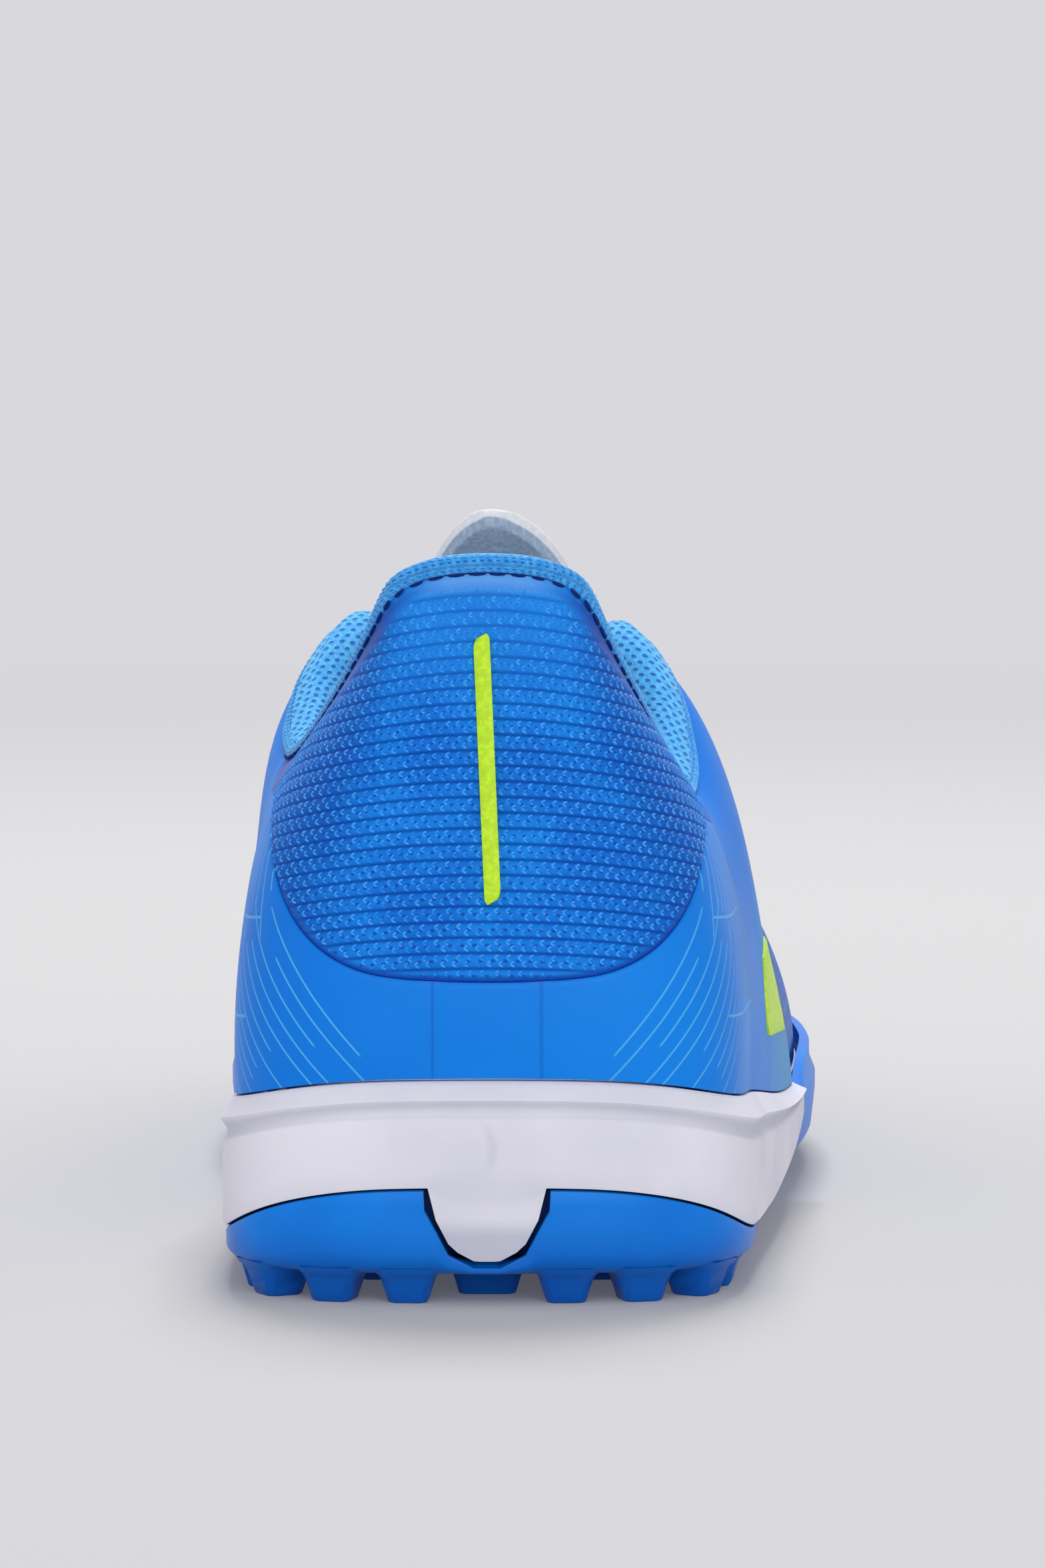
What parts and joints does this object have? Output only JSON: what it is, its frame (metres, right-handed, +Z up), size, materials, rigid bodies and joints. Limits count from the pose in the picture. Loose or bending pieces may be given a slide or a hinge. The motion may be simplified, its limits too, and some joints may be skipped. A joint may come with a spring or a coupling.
{
  "type": "turf football shoe",
  "caption": "Low-cut lace-up football shoe with a hollow knit upper, foam midsole, and a rubber cup outsole with many short lugs.",
  "frame": {"origin": "under the middle of the shoe's box, on the plane of the lug feet", "axes": "+Y towards the toe, +X towards the outer (lateral) side of a right foot, +Z up"},
  "size_m": [0.0962, 0.2836, 0.1079],
  "materials": {
    "outsole_rubber": "satin blue rubber",
    "midsole_foam": "matt white foam with a faint lilac cast",
    "insole_board": "brushed dark blue cloth over foam",
    "upper_knit": "bright blue ribbed knit and satin coated textile",
    "tongue_cloth": "white textile with a grey-blue lining",
    "eyelet_ring": "matt blue reinforcing ring",
    "lace_cord": "flat white woven lace"
  },
  "bodies": {
    "root": {"outsole": "outsole_rubber", "midsole": "midsole_foam", "insole": "insole_board", "upper": "upper_knit", "tongue": "tongue_cloth", "eyelet_medial_1": "eyelet_ring", "eyelet_medial_2": "eyelet_ring", "eyelet_medial_3": "eyelet_ring", "eyelet_medial_4": "eyelet_ring", "eyelet_medial_5": "eyelet_ring", "eyelet_lateral_1": "eyelet_ring", "eyelet_lateral_2": "eyelet_ring", "eyelet_lateral_3": "eyelet_ring", "eyelet_lateral_4": "eyelet_ring", "eyelet_lateral_5": "eyelet_ring", "lace_bar_1": "lace_cord", "lace_bar_2": "lace_cord", "lace_bar_3": "lace_cord", "lace_bar_4": "lace_cord", "lace_bar_5": "lace_cord"}
  },
  "joints": []
}
